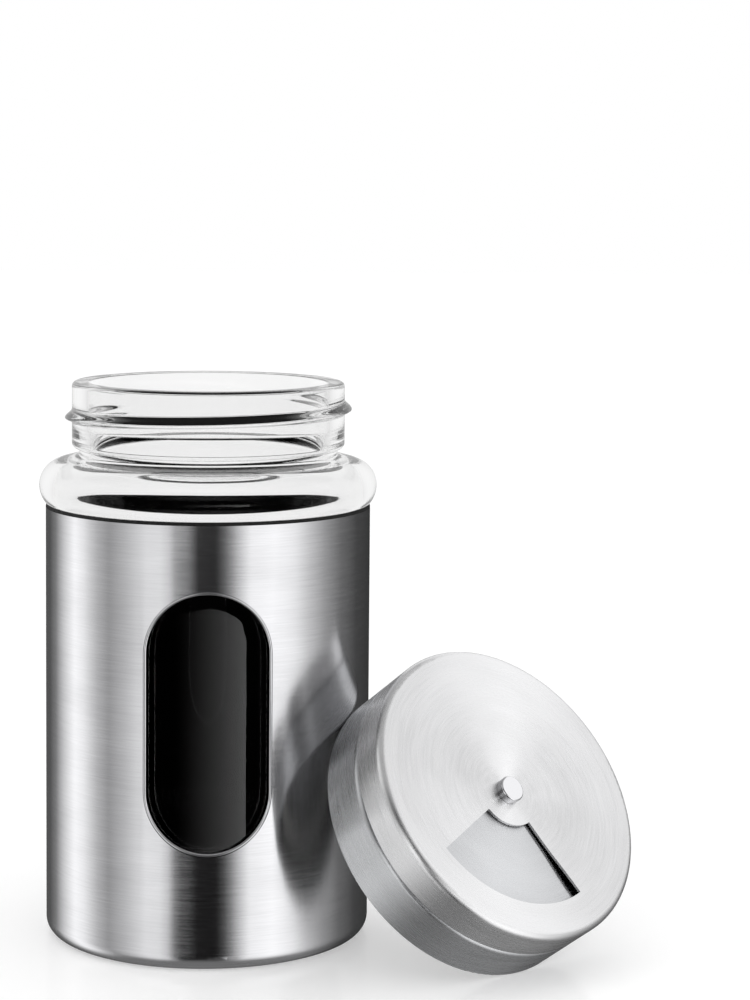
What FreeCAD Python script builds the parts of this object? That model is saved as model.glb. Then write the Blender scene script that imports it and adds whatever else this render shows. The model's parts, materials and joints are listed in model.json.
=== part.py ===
import FreeCAD, Part
import Sketcher
import math
import os

# Spice shaker dispenser: a glass jar in a drawn steel sleeve with a window, and its screw cap with a
# turning dial. The jar stands on the floor, and the cap is off and leans on the sleeve.
# Origin: centre of the sleeve's base, on the floor. +Z is up, and the window faces -Y.

os.makedirs("parts", exist_ok=True)
doc = FreeCAD.newDocument("spice_shaker")
ORIGIN = FreeCAD.Vector(0, 0, 0)
AXIS_X = FreeCAD.Vector(1, 0, 0)
AXIS_Z = FreeCAD.Vector(0, 0, 1)
FULL_TURN = 360
RIGHT_ANGLE = 90

# Driving dimensions, in millimetres and degrees.
SIZES = {
    "sleeve_radius": 30.0,
    "sleeve_height": 79.6,
    "sleeve_wall": 0.5,
    "sleeve_corner": 2.9,
    "window_half_width": 11.4,
    "window_low": 20.7,
    "window_top_margin": 11.6,
    "ring_height": 0.65,
    "ring_inset": 0.06,
    "glass_gap": 0.5,
    "glass_wall": 2.35,
    "glass_floor": 5.0,
    "glass_heel": 4.0,
    "cavity_heel": 5.0,
    "bulge_overhang": 1.2,
    "bulge_rise": 3.35,
    "bulge_crown": 4.6,
    "belly_wall": 2.65,
    "belly_drop": 0.45,
    "belly_fall": 7.05,
    "shoulder_fall": 0.55,
    "shoulder_run": 2.7,
    "waist_height": 1.65,
    "waist_fillet": 0.8,
    "neck_overhang": 1.3,
    "neck_height": 12.2,
    "neck_edge": 0.9,
    "neck_wall": 2.95,
    "mouth_foot_rise": 5.4,
    "throat_draw": 0.45,
    "throat_rise": 1.2,
    "rim_edge": 0.9,
    "rim_lip": 0.8,
    "thread_depth": 1.3,
    "crest_round": 1.2,
    "thread_pitch": 3.5,
    "thread_turns": 1.0,
    "thread_front": 5.9,
    "thread_root": 0.7,
    "thread_fade_margin": 0.06,
    "thread_clearance": 0.3,
    "cap_height": 16.4,
    "shell_wall": 0.4,
    "collar_inset": 0.9,
    "skirt_height": 9.4,
    "deck_depth": 1.3,
    "deck_edge": 1.0,
    "hem_height": 1.1,
    "fine_hole_radius": 0.8,
    "coarse_hole_radius": 1.8,
    "pour_margin": 2.5,
    "pour_half_angle": 30.0,
    "fine_inner_share": 0.2,
    "fine_outer_share": 0.73,
    "coarse_inner_share": 0.27,
    "coarse_outer_share": 0.7,
    "row_span": 54.0,
    "fine_inner_count": 3,
    "fine_middle_count": 4,
    "fine_outer_count": 5,
    "coarse_inner_count": 2,
    "coarse_outer_count": 3,
    "fine_turn": 0.0,
    "coarse_turn": 90.0,
    "pour_turn": 180.0,
    "slot_turn": -90.0,
    "dial_sheet": 0.5,
    "dial_edge": 1.2,
    "dial_part_line": 0.35,
    "dish_depth": 0.5,
    "dish_flat_radius": 9.0,
    "dial_land": 5.0,
    "slot_inner_radius": 6.5,
    "slot_margin": 0.3,
    "slot_half_angle": 42.5,
    "insert_gap": 0.1,
    "insert_thread_wall": 0.7,
    "insert_upper_wall": 1.0,
    "insert_step_drop": 0.9,
    "insert_flange": 1.2,
    "insert_flange_overhang": 1.1,
    "crest_clearance": 0.4,
    "insert_crest_round": 0.45,
    "insert_thread_rise": 1.0,
    "insert_thread_turns": 1.1,
    "seal_height": 1.4,
    "seal_overhang": 0.5,
    "seal_gap": 0.2,
    "pivot_radius": 1.6,
    "pivot_clearance": 0.05,
    "head_overhang": 0.8,
    "head_height": 1.5,
    "head_edge": 0.3,
    "spacer_overhang": 2.6,
    "washer_wall": 0.3,
    "spring_overhang": 2.4,
    "spring_rise": 0.55,
    "spring_wall": 0.25,
    "backing_overhang": 1.8,
    "tail_overhang": 0.7,
    "tail_height": 0.7,
    "cap_turn": 40.0,
    "cap_tilt": 54.5,
    "cap_spin": -27.0,
    "cap_side": 22.0,
    "lean_clearance": 0.3,
    "floor_clearance": 0.05,
    "seat_tolerance": 0.0001,
    "cut_overrun": 5.0,
}

# Places and sizes that follow from the driving dimensions.
PLACES = {
    "body_radius": "=sizes.sleeve_radius - sizes.sleeve_wall - sizes.glass_gap",
    "sleeve_bore": "=sizes.sleeve_radius - sizes.sleeve_wall",
    "sleeve_flat": "=sizes.sleeve_radius - sizes.sleeve_corner",
    "sleeve_inner_corner": "=sizes.sleeve_corner - sizes.sleeve_wall",
    "window_high": "=sizes.sleeve_height - sizes.window_top_margin",
    "window_low_centre": "=sizes.window_low + sizes.window_half_width",
    "window_high_centre": "=places.window_high - sizes.window_half_width",
    "ring_top": "=sizes.sleeve_height + sizes.ring_height",
    "ring_outer": "=sizes.sleeve_radius - sizes.ring_inset",
    "ring_bore": "=places.body_radius + sizes.ring_inset",
    "heel_radius": "=places.body_radius - sizes.glass_heel",
    "heel_top": "=sizes.sleeve_wall + sizes.glass_heel",
    "cavity_radius": "=places.body_radius - sizes.glass_wall",
    "cavity_floor": "=sizes.sleeve_wall + sizes.glass_floor",
    "cavity_flat": "=places.cavity_radius - sizes.cavity_heel",
    "cavity_heel_top": "=places.cavity_floor + sizes.cavity_heel",
    "bulge_radius": "=sizes.sleeve_radius + sizes.bulge_overhang",
    "bulge_height": "=places.ring_top + sizes.bulge_rise",
    "bulge_foot": "=places.bulge_radius - places.ring_outer",
    "bulge_lower_arc": "=(sizes.bulge_rise ^ 2 + places.bulge_foot ^ 2) / (2 * places.bulge_foot)",
    "crown_radius": "=places.bulge_radius - sizes.bulge_crown",
    "crown_top": "=places.bulge_height + sizes.bulge_crown",
    "waist_base": "=places.crown_top + sizes.shoulder_fall",
    "waist_foot": "=places.waist_base + sizes.waist_fillet",
    "waist_radius": "=places.crown_radius - sizes.shoulder_run",
    "waist_foot_radius": "=places.waist_radius + sizes.waist_fillet",
    "neck_base": "=places.waist_base + sizes.waist_height",
    "neck_base_edge": "=places.neck_base + sizes.neck_edge",
    "neck_radius": "=places.waist_radius + sizes.neck_overhang",
    "neck_base_radius": "=places.neck_radius - sizes.neck_edge",
    "rim_top": "=places.neck_base + sizes.neck_height",
    "rim_side": "=places.rim_top - sizes.rim_edge",
    "rim_flat": "=places.neck_radius - sizes.rim_edge",
    "rim_lip_side": "=places.rim_top - sizes.rim_lip",
    "mouth_radius": "=places.neck_radius - sizes.neck_wall",
    "rim_lip_flat": "=places.mouth_radius + sizes.rim_lip",
    "mouth_foot": "=places.waist_base + sizes.mouth_foot_rise",
    "belly_radius": "=places.bulge_radius - sizes.belly_wall",
    "belly_height": "=places.bulge_height - sizes.belly_drop",
    "throat_radius": "=places.mouth_radius - sizes.throat_draw",
    "throat_top": "=places.waist_base + sizes.throat_rise",
    "throat_run": "=places.belly_radius - places.throat_radius",
    "throat_fall": "=places.throat_top - places.belly_height",
    "throat_arc": "=(places.throat_fall ^ 2 + places.throat_run ^ 2) / (4 * places.throat_run)",
    "throat_mid_radius": "=places.throat_radius + places.throat_run / 2",
    "throat_mid_height": "=places.belly_height + places.throat_fall / 2",
    "cavity_shoulder": "=places.belly_height - sizes.belly_fall",
    "cavity_run": "=places.belly_radius - places.cavity_radius",
    "cavity_arc": "=(sizes.belly_fall ^ 2 + places.cavity_run ^ 2) / (4 * places.cavity_run)",
    "cavity_mid_radius": "=places.cavity_radius + places.cavity_run / 2",
    "cavity_mid_height": "=places.cavity_shoulder + sizes.belly_fall / 2",
    "thread_middle": "=places.neck_base + sizes.thread_front",
    "crest_radius": "=places.neck_radius + sizes.thread_depth",
    "fade_radius": "=places.crest_radius + sizes.thread_fade_margin",
    "fade_offset": "=places.fade_radius - places.neck_radius",
    "insert_thread_bore": "=places.crest_radius + sizes.thread_clearance",
    "insert_radius": "=places.insert_thread_bore + sizes.insert_thread_wall",
    "skirt_bore": "=places.insert_radius + sizes.insert_gap",
    "cap_radius": "=places.skirt_bore + sizes.shell_wall",
    "collar_radius": "=places.cap_radius - sizes.collar_inset",
    "collar_bore": "=places.collar_radius - sizes.shell_wall",
    "skirt_shoulder": "=sizes.skirt_height - sizes.collar_inset",
    "shoulder_under": "=sizes.skirt_height - sizes.shell_wall",
    "shoulder_inner_arc": "=sizes.collar_inset - sizes.shell_wall",
    "hem_bore": "=places.skirt_bore - sizes.shell_wall",
    "deck_top": "=sizes.cap_height - sizes.deck_depth",
    "deck_under": "=places.deck_top - sizes.shell_wall",
    "deck_edge_height": "=places.deck_top - sizes.deck_edge",
    "deck_edge_radius": "=places.collar_radius - sizes.deck_edge",
    "deck_inner_edge": "=sizes.deck_edge - sizes.shell_wall",
    "deck_bore_edge": "=places.collar_bore - places.deck_inner_edge",
    "dial_foot": "=sizes.skirt_height + sizes.dial_part_line",
    "dial_bore": "=places.cap_radius - sizes.dial_sheet",
    "dial_flat": "=places.cap_radius - sizes.dial_edge",
    "dial_edge_height": "=sizes.cap_height - sizes.dial_edge",
    "dial_inner_edge": "=sizes.dial_edge - sizes.dial_sheet",
    "dial_under": "=sizes.cap_height - sizes.dial_sheet",
    "dial_bore_edge": "=places.dial_bore - places.dial_inner_edge",
    "dish_top": "=sizes.cap_height - sizes.dish_depth",
    "dish_under": "=places.dish_top - sizes.dial_sheet",
    "dish_edge_radius": "=places.dial_flat - sizes.dial_land",
    "dish_run": "=places.dish_edge_radius - sizes.dish_flat_radius",
    "dish_mid_radius": "=(places.dish_edge_radius + sizes.dish_flat_radius) / 2",
    "dish_mid_top": "=sizes.cap_height - sizes.dish_depth / 2",
    "dish_mid_under": "=places.dish_mid_top - sizes.dial_sheet",
    "dish_arc": "=(places.dish_run ^ 2 + sizes.dish_depth ^ 2) / (4 * sizes.dish_depth)",
    "dial_hole": "=sizes.pivot_radius + sizes.pivot_clearance",
    "slot_outer_radius": "=places.dish_edge_radius - sizes.slot_margin",
    "slot_span": "=places.slot_outer_radius - sizes.slot_inner_radius",
    "pour_inner_radius": "=sizes.slot_inner_radius + sizes.pour_margin",
    "pour_outer_radius": "=places.slot_outer_radius - sizes.pour_margin",
    "row_inner_radius": "=sizes.slot_inner_radius + sizes.fine_inner_share * places.slot_span",
    "row_outer_radius": "=sizes.slot_inner_radius + sizes.fine_outer_share * places.slot_span",
    "row_middle_radius": "=(places.row_inner_radius + places.row_outer_radius) / 2",
    "coarse_inner_radius": "=sizes.slot_inner_radius + sizes.coarse_inner_share * places.slot_span",
    "coarse_outer_radius": "=sizes.slot_inner_radius + sizes.coarse_outer_share * places.slot_span",
    "insert_foot": "=sizes.hem_height + sizes.insert_gap",
    "insert_upper_radius": "=places.collar_bore - sizes.insert_gap",
    "insert_bore_radius": "=places.insert_upper_radius - sizes.insert_upper_wall",
    "insert_flange_radius": "=places.mouth_radius - sizes.insert_flange_overhang",
    "insert_crest_radius": "=places.neck_radius + sizes.crest_clearance",
    "insert_thread_start": "=places.insert_foot + sizes.insert_thread_rise",
    "insert_shelf": "=places.skirt_shoulder - sizes.insert_gap",
    "insert_step": "=places.insert_shelf - sizes.insert_step_drop",
    "insert_top": "=places.deck_under - sizes.insert_gap",
    "insert_top_edge": "=places.insert_top - places.deck_inner_edge",
    "insert_top_flat": "=places.insert_upper_radius - places.deck_inner_edge",
    "insert_flange_under": "=places.insert_top - sizes.insert_flange",
    "seal_under": "=places.insert_flange_under - sizes.seal_height",
    "seal_inner_radius": "=places.mouth_radius - sizes.seal_overhang",
    "seal_outer_radius": "=places.insert_bore_radius - sizes.seal_gap",
    "spacer_top": "=places.dish_under - sizes.pivot_clearance",
    "head_under": "=places.dish_top + sizes.pivot_clearance",
    "head_top": "=places.head_under + sizes.head_height",
    "head_side": "=places.head_top - sizes.head_edge",
    "head_radius": "=sizes.pivot_radius + sizes.head_overhang",
    "head_flat": "=places.head_radius - sizes.head_edge",
    "spacer_radius": "=sizes.pivot_radius + sizes.spacer_overhang",
    "spring_radius": "=sizes.pivot_radius + sizes.spring_overhang",
    "backing_radius": "=sizes.pivot_radius + sizes.backing_overhang",
    "tail_radius": "=sizes.pivot_radius + sizes.tail_overhang",
    "spring_outer_under": "=places.deck_under - sizes.spring_wall",
    "spring_under": "=places.deck_under - sizes.spring_rise",
    "spring_inner_top": "=places.spring_under + sizes.spring_wall",
    "backing_under": "=places.spring_under - sizes.washer_wall",
    "tail_under": "=places.backing_under - sizes.tail_height",
    "tail_flat": "=places.tail_radius - sizes.tail_height",
}


def fill_sheet(name, cells):
    sheet = doc.addObject("Spreadsheet::Sheet", name)
    for row, (alias, content) in enumerate(cells.items(), start=1):
        sheet.set(f"A{row}", alias)
        sheet.set(f"B{row}", str(content))
        sheet.setAlias(f"B{row}", alias)
    doc.recompute()
    return sheet


sizes = fill_sheet("sizes", SIZES)
places = fill_sheet("places", PLACES)


def bound(name):
    """The expression that reads a named size or place."""
    if name in SIZES:
        return f"sizes.{name}"
    return f"places.{name}"


def value(name):
    """The number a named size or place holds now."""
    sheet = sizes if name in SIZES else places
    return float(sheet.get(name))


def new_body(name):
    body = doc.addObject("PartDesign::Body", name)
    body.Label = name
    return body


def new_sketch(body, name, role):
    sketch = body.newObject("Sketcher::SketchObject", name)
    plane = next(item for item in body.Origin.OriginFeatures if item.Role == role)
    sketch.AttachmentSupport = (plane, [""])
    sketch.MapMode = "FlatFace"
    return sketch


def bind_last(sketch, name):
    """Ties the newest constraint of a sketch to a named size or place."""
    sketch.setExpression(f"Constraints[{sketch.ConstraintCount - 1}]", bound(name))


def pin_point(sketch, edge, end, names):
    """Holds one end of an edge at a named pair of coordinates; None is zero."""
    for kind, axis, name in (("DistanceX", -2, names[0]), ("DistanceY", -1, names[1])):
        if name is None:
            sketch.addConstraint(Sketcher.Constraint("PointOnObject", edge, end, axis))
        else:
            sketch.addConstraint(Sketcher.Constraint(kind, -1, 1, edge, end, value(name)))
            bind_last(sketch, name)


def arc_centre(start, end, radius, turn):
    """Centre of the shorter arc from start to end; turn is 1 anticlockwise, -1 clockwise."""
    chord = end - start
    middle = (start + end) / 2
    reach = math.sqrt(max(radius ** 2 - (chord.Length / 2) ** 2, 0))
    side = FreeCAD.Vector(-chord.y, chord.x, 0)
    return middle + side * (turn * reach / chord.Length)


def draw_outline(sketch, steps):
    """Draws a closed outline. A step is (x, y) where a line leaves, or (x, y, radius, turn) for an arc."""
    points = [FreeCAD.Vector(value(step[0]) if step[0] else 0, value(step[1]) if step[1] else 0, 0)
              for step in steps]
    count = len(steps)
    starts = []
    for index, step in enumerate(steps):
        start = points[index]
        end = points[(index + 1) % count]
        if len(step) == 2:
            sketch.addGeometry(Part.LineSegment(start, end))
            starts.append((1, 2))
            continue
        radius, turn = value(step[2]), step[3]
        centre = arc_centre(start, end, radius, turn)
        circle = Part.Circle(centre, AXIS_Z, radius)
        first, last = (start, end) if turn > 0 else (end, start)
        angles = [math.atan2(point.y - centre.y, point.x - centre.x) for point in (first, last)]
        if angles[1] < angles[0]:
            angles[1] += 2 * math.pi
        sketch.addGeometry(Part.ArcOfCircle(circle, angles[0], angles[1]))
        starts.append((1, 2) if turn > 0 else (2, 1))
    for index, step in enumerate(steps):
        following = (index + 1) % count
        sketch.addConstraint(Sketcher.Constraint("Coincident", index, starts[index][1],
                                                 following, starts[following][0]))
        pin_point(sketch, index, starts[index][0], step)
        if len(step) == 4:
            sketch.addConstraint(Sketcher.Constraint("Radius", index, value(step[2])))
            bind_last(sketch, step[2])


def revolved(name, steps):
    """A body turned once round Z from an outline of (radius, height) steps."""
    body = new_body(name)
    sketch = new_sketch(body, name + "_outline", "XZ_Plane")
    draw_outline(sketch, steps)
    turn = body.newObject("PartDesign::Revolution", name + "_turn")
    turn.Profile = sketch
    turn.ReferenceAxis = (sketch, ["V_Axis"])
    turn.Angle = FULL_TURN
    doc.recompute()
    return body


def require_cut(body, before, name):
    """A pocket that takes nothing away is a fault."""
    if not body.Shape.Volume < before:
        raise RuntimeError(f"{name} cuts nothing")


def place_in_cap(item):
    item.Placement = cap_placement
    return item


def glass_vessel():
    return revolved("glass_vessel", [
        (None, "sleeve_wall"),
        ("heel_radius", "sleeve_wall", "glass_heel", 1),
        ("body_radius", "heel_top"),
        ("body_radius", "ring_top"),
        ("ring_outer", "ring_top", "bulge_lower_arc", 1),
        ("bulge_radius", "bulge_height", "bulge_crown", 1),
        ("crown_radius", "crown_top"),
        ("waist_foot_radius", "waist_base", "waist_fillet", -1),
        ("waist_radius", "waist_foot"),
        ("waist_radius", "neck_base"),
        ("neck_base_radius", "neck_base", "neck_edge", 1),
        ("neck_radius", "neck_base_edge"),
        ("neck_radius", "rim_side", "rim_edge", 1),
        ("rim_flat", "rim_top"),
        ("rim_lip_flat", "rim_top", "rim_lip", 1),
        ("mouth_radius", "rim_lip_side"),
        ("mouth_radius", "mouth_foot"),
        ("throat_radius", "throat_top", "throat_arc", 1),
        ("throat_mid_radius", "throat_mid_height", "throat_arc", -1),
        ("belly_radius", "belly_height", "cavity_arc", -1),
        ("cavity_mid_radius", "cavity_mid_height", "cavity_arc", 1),
        ("cavity_radius", "cavity_shoulder"),
        ("cavity_radius", "cavity_heel_top", "cavity_heel", -1),
        ("cavity_flat", "cavity_floor"),
        (None, "cavity_floor"),
    ])


def helical_ridge(root, crest, rounding, pitch, turns, start_height):
    """A round-nosed ridge swept up a helix from the back (+Y); root and crest are its radii."""
    side = 1 if crest > root else -1
    nose = crest - side * rounding
    helix = Part.makeHelix(pitch, pitch * turns, nose)
    corners = [FreeCAD.Vector(root, 0, -rounding), FreeCAD.Vector(nose, 0, -rounding),
               FreeCAD.Vector(nose, 0, rounding), FreeCAD.Vector(root, 0, rounding)]
    tip = FreeCAD.Vector(crest, 0, 0)
    section = Part.Wire([
        Part.LineSegment(corners[0], corners[1]).toShape(),
        Part.Arc(corners[1], tip, corners[2]).toShape(),
        Part.LineSegment(corners[2], corners[3]).toShape(),
        Part.LineSegment(corners[3], corners[0]).toShape(),
    ])
    ridge = Part.Wire(helix).makePipeShell([section], True, True)
    ridge.rotate(ORIGIN, AXIS_Z, RIGHT_ANGLE)
    ridge.translate(AXIS_Z * start_height)
    return ridge


def glass_jar():
    """The vessel with its one turn of thread, which fades out at the back of the neck."""
    vessel = glass_vessel()
    pitch = value("thread_pitch")
    ridge = helical_ridge(value("neck_radius") - value("thread_root"), value("crest_radius"),
                          value("crest_round"), pitch, value("thread_turns"),
                          value("thread_middle") - pitch / 2)
    fade = Part.makeCylinder(value("fade_radius"), value("neck_height") + value("cut_overrun"),
                             FreeCAD.Vector(0, -value("fade_offset"), value("waist_base")))
    thread = doc.addObject("Part::Feature", "neck_thread")
    thread.Shape = ridge.common(fade)
    jar = doc.addObject("Part::Fuse", "glass_jar")
    jar.Base = vessel
    jar.Tool = thread
    jar.Refine = True
    return jar


def steel_sleeve():
    """A drawn can, open at the top, with a slot-shaped window cut through its front."""
    body = revolved("steel_sleeve", [
        (None, None),
        ("sleeve_flat", None, "sleeve_corner", 1),
        ("sleeve_radius", "sleeve_corner"),
        ("sleeve_radius", "sleeve_height"),
        ("sleeve_bore", "sleeve_height"),
        ("sleeve_bore", "sleeve_corner", "sleeve_inner_corner", -1),
        ("sleeve_flat", "sleeve_wall"),
        (None, "sleeve_wall"),
    ])
    before = body.Shape.Volume
    sketch = new_sketch(body, "window_outline", "XZ_Plane")
    half, low, high = value("window_half_width"), value("window_low_centre"), value("window_high_centre")
    bottom, top = FreeCAD.Vector(0, low, 0), FreeCAD.Vector(0, high, 0)
    sketch.addGeometry(Part.ArcOfCircle(Part.Circle(bottom, AXIS_Z, half), math.pi, 2 * math.pi))
    sketch.addGeometry(Part.LineSegment(FreeCAD.Vector(half, low, 0), FreeCAD.Vector(half, high, 0)))
    sketch.addGeometry(Part.ArcOfCircle(Part.Circle(top, AXIS_Z, half), 0, math.pi))
    sketch.addGeometry(Part.LineSegment(FreeCAD.Vector(-half, high, 0), FreeCAD.Vector(-half, low, 0)))
    for first, second in (((0, 2), (1, 1)), ((1, 2), (2, 1)), ((2, 2), (3, 1)), ((3, 2), (0, 1))):
        sketch.addConstraint(Sketcher.Constraint("Tangent", *first, *second))
    for arc, name in ((0, "window_low_centre"), (2, "window_high_centre")):
        sketch.addConstraint(Sketcher.Constraint("PointOnObject", arc, 3, -2))
        sketch.addConstraint(Sketcher.Constraint("DistanceY", -1, 1, arc, 3, value(name)))
        bind_last(sketch, name)
    sketch.addConstraint(Sketcher.Constraint("Radius", 0, half))
    bind_last(sketch, "window_half_width")
    sketch.addConstraint(Sketcher.Constraint("Vertical", 1))
    window = body.newObject("PartDesign::Pocket", "window")
    window.Profile = sketch
    window.Length = value("sleeve_radius") + value("cut_overrun")
    window.setExpression("Length", "sizes.sleeve_radius + sizes.cut_overrun")
    window.Reversed = True
    doc.recompute()
    require_cut(body, before, "the window")
    return body


def shoulder_ring():
    """The black ring between the sleeve's top edge and the glass shoulder."""
    return revolved("shoulder_ring", [
        ("ring_bore", "sleeve_height"),
        ("ring_outer", "sleeve_height"),
        ("ring_outer", "ring_top"),
        ("ring_bore", "ring_top"),
    ])


def drill_row(body, name, row_radius, hole_radius, count, turn):
    """Cuts one arc of holes, centred on the angle that turn names."""
    before = body.Shape.Volume
    sketch = new_sketch(body, name + "_first", "XY_Plane")
    start = value(turn) - value("row_span") / 2
    sketch.AttachmentOffset = FreeCAD.Placement(ORIGIN, FreeCAD.Rotation(AXIS_Z, start))
    centre = FreeCAD.Vector(value(row_radius), 0, 0)
    sketch.addGeometry(Part.Circle(centre, AXIS_Z, value(hole_radius)))
    pin_point(sketch, 0, 3, (row_radius, None))
    sketch.addConstraint(Sketcher.Constraint("Radius", 0, value(hole_radius)))
    bind_last(sketch, hole_radius)
    hole = body.newObject("PartDesign::Pocket", name)
    hole.Profile = sketch
    hole.setExpression("Length", "sizes.cap_height")
    hole.Reversed = True
    doc.recompute()
    pattern = body.newObject("PartDesign::PolarPattern", name + "_row")
    pattern.Originals = [hole]
    pattern.Axis = (sketch, ["N_Axis"])
    pattern.setExpression("Angle", bound("row_span"))
    pattern.setExpression("Occurrences", bound(count))
    body.Tip = pattern
    doc.recompute()
    require_cut(body, before, name)


def sector_tool(name, inner, outer, half_angle, turn):
    """A slice of a thick disc, used as a cutter; turn names the angle of its middle."""
    slices = []
    for part, radius in (("inner", inner), ("outer", outer)):
        piece = doc.addObject("Part::Cylinder", f"{name}_{part}")
        piece.setExpression("Radius", bound(radius))
        piece.setExpression("Height", "sizes.cap_height + sizes.cut_overrun")
        piece.setExpression("Angle", f"2 * {bound(half_angle)}")
        piece.setExpression("Placement.Rotation.Angle", f"{bound(turn)} - {bound(half_angle)}")
        slices.append(piece)
    tool = doc.addObject("Part::Cut", name)
    tool.Base = slices[1]
    tool.Tool = slices[0]
    doc.recompute()
    return tool


def cut_from(label, base, tool):
    result = doc.addObject("Part::Cut", label)
    result.Label = label
    result.Base = base
    result.Tool = tool
    doc.recompute()
    require_cut(result, base.Shape.Volume, label)
    return result


def cap_shell():
    """The cap's pressed steel cup: hemmed skirt, collar under the dial, and the sifting deck."""
    body = revolved("cap_cup", [
        ("hem_bore", "shell_wall", "shell_wall", 1),
        ("skirt_bore", None, "shell_wall", 1),
        ("cap_radius", "shell_wall"),
        ("cap_radius", "skirt_shoulder", "collar_inset", 1),
        ("collar_radius", "skirt_height"),
        ("collar_radius", "deck_edge_height", "deck_edge", 1),
        ("deck_edge_radius", "deck_top"),
        ("dial_hole", "deck_top"),
        ("dial_hole", "deck_under"),
        ("deck_bore_edge", "deck_under", "deck_inner_edge", -1),
        ("collar_bore", "deck_edge_height"),
        ("collar_bore", "shoulder_under"),
        ("collar_radius", "shoulder_under", "shoulder_inner_arc", -1),
        ("skirt_bore", "skirt_shoulder"),
        ("skirt_bore", "hem_height"),
        ("hem_bore", "hem_height"),
    ])
    for name, row_radius, hole_radius, count, turn in (
        ("fine_inner", "row_inner_radius", "fine_hole_radius", "fine_inner_count", "fine_turn"),
        ("fine_middle", "row_middle_radius", "fine_hole_radius", "fine_middle_count", "fine_turn"),
        ("fine_outer", "row_outer_radius", "fine_hole_radius", "fine_outer_count", "fine_turn"),
        ("coarse_inner", "coarse_inner_radius", "coarse_hole_radius", "coarse_inner_count", "coarse_turn"),
        ("coarse_outer", "coarse_outer_radius", "coarse_hole_radius", "coarse_outer_count", "coarse_turn"),
    ):
        drill_row(body, name, row_radius, hole_radius, count, turn)
    tool = sector_tool("pour_opening", "pour_inner_radius", "pour_outer_radius",
                       "pour_half_angle", "pour_turn")
    return cut_from("cap_shell", body, tool)


def thread_insert():
    """The plastic lining of the cap: a bore with one turn of thread, and a flange over the seal."""
    body = revolved("insert_body", [
        ("insert_thread_bore", "insert_foot"),
        ("insert_radius", "insert_foot"),
        ("insert_radius", "insert_shelf"),
        ("insert_upper_radius", "insert_shelf"),
        ("insert_upper_radius", "insert_top_edge", "deck_inner_edge", 1),
        ("insert_top_flat", "insert_top"),
        ("insert_flange_radius", "insert_top"),
        ("insert_flange_radius", "insert_flange_under"),
        ("insert_bore_radius", "insert_flange_under"),
        ("insert_bore_radius", "insert_step"),
        ("insert_thread_bore", "insert_step"),
    ])
    thread = doc.addObject("Part::Feature", "insert_thread")
    root = value("insert_thread_bore") + value("insert_thread_wall") / 2
    thread.Shape = helical_ridge(root, value("insert_crest_radius"), value("insert_crest_round"),
                                 value("thread_pitch"), value("insert_thread_turns"),
                                 value("insert_thread_start"))
    insert = doc.addObject("Part::Fuse", "thread_insert")
    insert.Base = body
    insert.Tool = thread
    insert.Refine = True
    return insert


def rim_seal():
    """The soft ring that meets the jar's rim."""
    return revolved("rim_seal", [
        ("seal_inner_radius", "seal_under"),
        ("seal_outer_radius", "seal_under"),
        ("seal_outer_radius", "insert_flange_under"),
        ("seal_inner_radius", "insert_flange_under"),
    ])


def pivot_rivet():
    """The rivet that the dial turns on, with its turned head and its peened tail."""
    return revolved("pivot_rivet", [
        (None, "tail_under"),
        ("tail_flat", "tail_under", "tail_height", 1),
        ("tail_radius", "backing_under"),
        ("pivot_radius", "backing_under"),
        ("pivot_radius", "head_under"),
        ("head_radius", "head_under"),
        ("head_radius", "head_side", "head_edge", 1),
        ("head_flat", "head_top"),
        (None, "head_top"),
    ])


def spacer_washer():
    """The thin slip washer between the deck and the dial."""
    return revolved("spacer_washer", [
        ("dial_hole", "deck_top"),
        ("spacer_radius", "deck_top"),
        ("spacer_radius", "spacer_top"),
        ("dial_hole", "spacer_top"),
    ])


def spring_washer():
    """The coned washer under the deck that keeps the dial drawn down."""
    return revolved("spring_washer", [
        ("dial_hole", "spring_under"),
        ("spring_radius", "spring_outer_under"),
        ("spring_radius", "deck_under"),
        ("dial_hole", "spring_inner_top"),
    ])


def backing_washer():
    """The flat washer that the rivet's tail is peened over."""
    return revolved("backing_washer", [
        ("dial_hole", "backing_under"),
        ("backing_radius", "backing_under"),
        ("backing_radius", "spring_under"),
        ("dial_hole", "spring_under"),
    ])


def dial_cap():
    """The turning top: a band, a flat rim, a shallow dish and a slice-shaped opening."""
    body = revolved("dial_cup", [
        ("dial_bore", "dial_foot"),
        ("cap_radius", "dial_foot"),
        ("cap_radius", "dial_edge_height", "dial_edge", 1),
        ("dial_flat", "cap_height"),
        ("dish_edge_radius", "cap_height", "dish_arc", 1),
        ("dish_mid_radius", "dish_mid_top", "dish_arc", -1),
        ("dish_flat_radius", "dish_top"),
        ("dial_hole", "dish_top"),
        ("dial_hole", "dish_under"),
        ("dish_flat_radius", "dish_under", "dish_arc", 1),
        ("dish_mid_radius", "dish_mid_under", "dish_arc", -1),
        ("dish_edge_radius", "dial_under"),
        ("dial_bore_edge", "dial_under", "dial_inner_edge", -1),
        ("dial_bore", "dial_edge_height"),
    ])
    tool = sector_tool("dial_slot", "slot_inner_radius", "slot_outer_radius",
                       "slot_half_angle", "slot_turn")
    return cut_from("dial_cap", body, tool)


def cap_rotation():
    """How the cap stands: spun on its own axis, tipped back, then turned towards the jar's side."""
    turn = FreeCAD.Rotation(AXIS_Z, value("cap_turn"))
    tilt = FreeCAD.Rotation(AXIS_X, value("cap_tilt"))
    spin = FreeCAD.Rotation(AXIS_Z, value("cap_spin"))
    return turn.multiply(tilt).multiply(spin)


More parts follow.
